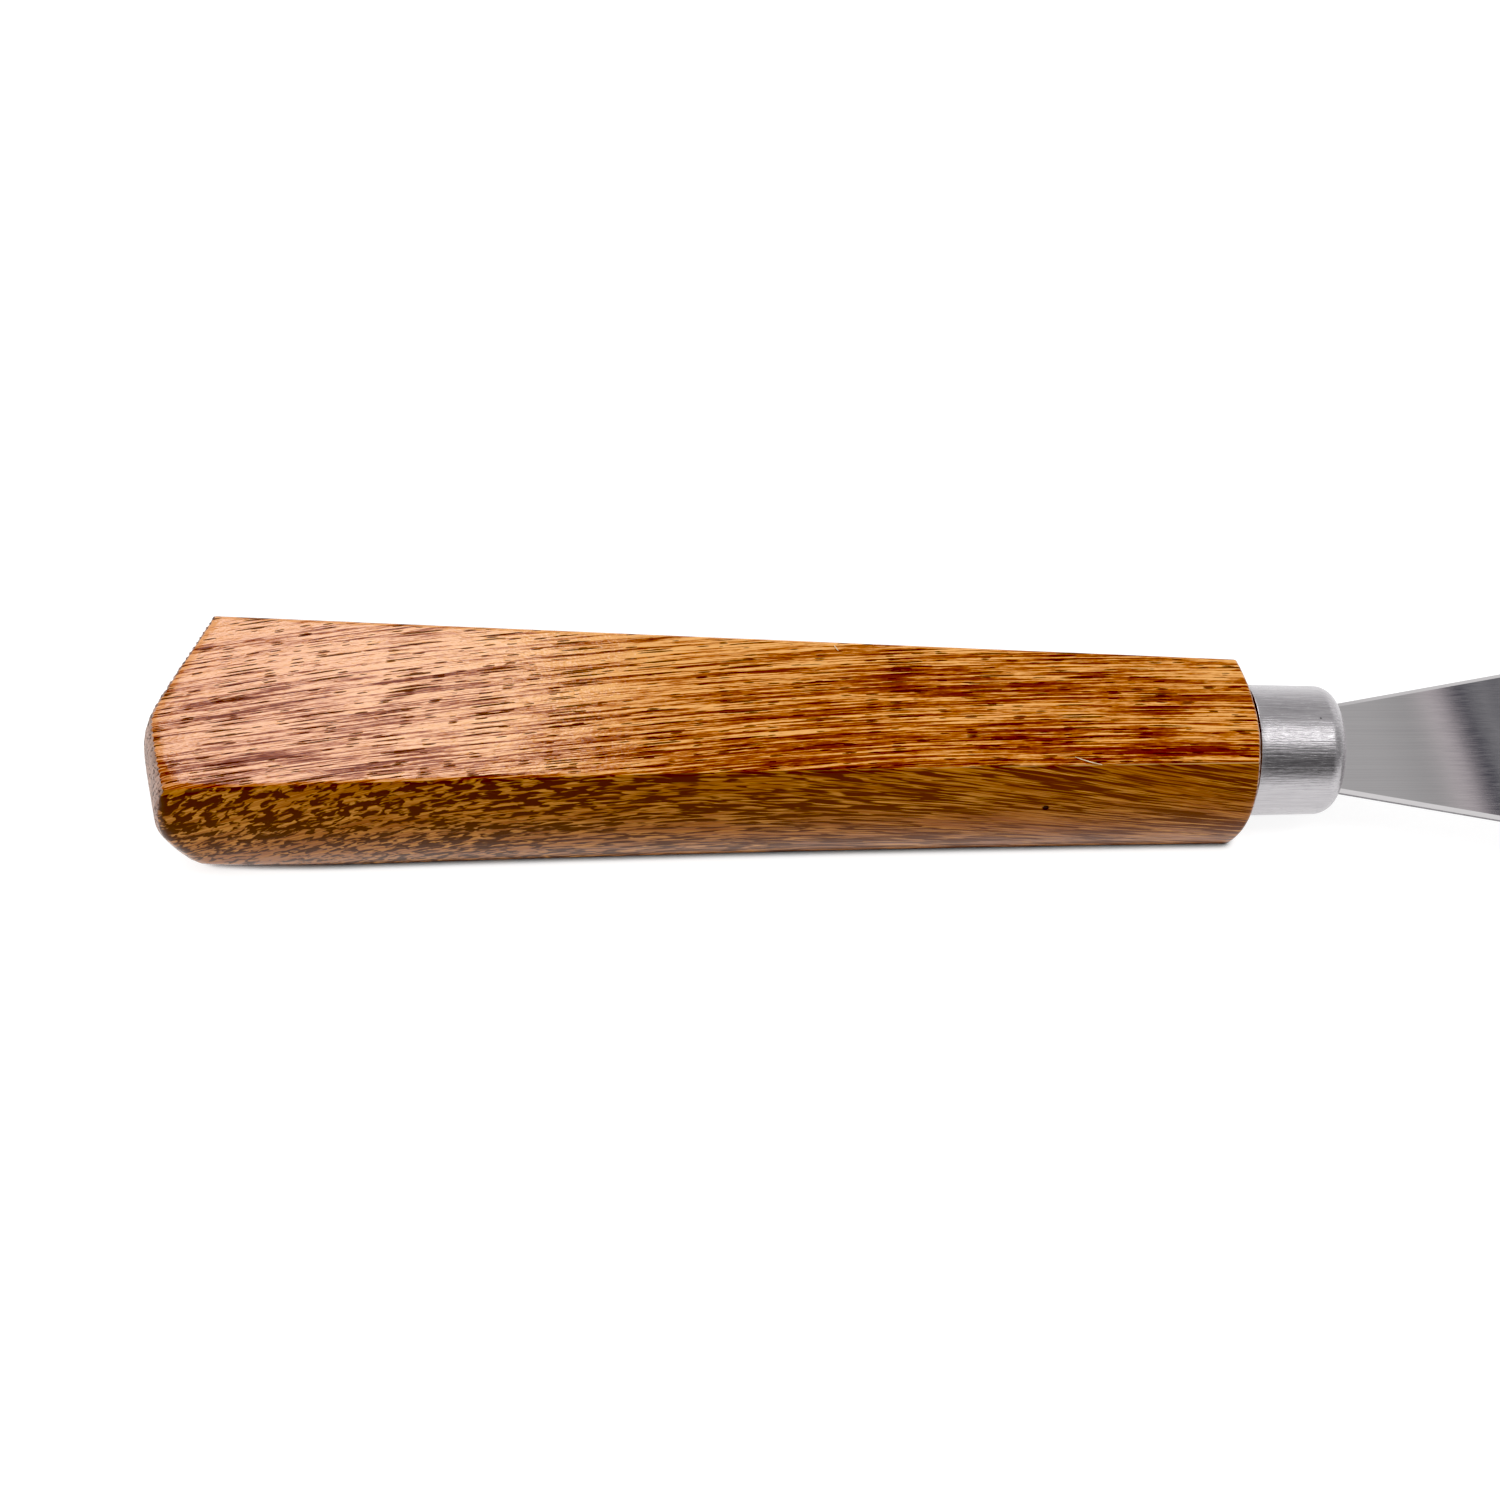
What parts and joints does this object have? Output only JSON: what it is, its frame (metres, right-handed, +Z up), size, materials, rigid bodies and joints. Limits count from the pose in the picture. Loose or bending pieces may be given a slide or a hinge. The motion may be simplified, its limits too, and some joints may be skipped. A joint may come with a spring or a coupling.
{
  "type": "palette knife",
  "caption": "Palette knife with a flared spring-steel blade, an aluminium ferrule and a flat-sided hardwood handle with a pointed butt.",
  "frame": {"origin": "middle of the knife's footprint, on the surface that it rests on; the blade's plane is 7.5 mm above it", "axes": "+X along the knife from the butt to the blade's tip, +Y across it, +Z up, out of the handle's upper face"},
  "size_m": [0.2194, 0.0508, 0.015],
  "materials": {
    "handle_wood": "clear gloss lacquer over reddish-brown open-pored hardwood",
    "ferrule_aluminium": "satin, brushed along the knife",
    "blade_steel": "fine polish, faintly brushed along the blade",
    "adhesive_resin": "cured amber resin"
  },
  "bodies": {
    "root": {"handle": "handle_wood", "ferrule": "ferrule_aluminium", "blade": "blade_steel", "tang_adhesive": "adhesive_resin"}
  },
  "joints": []
}
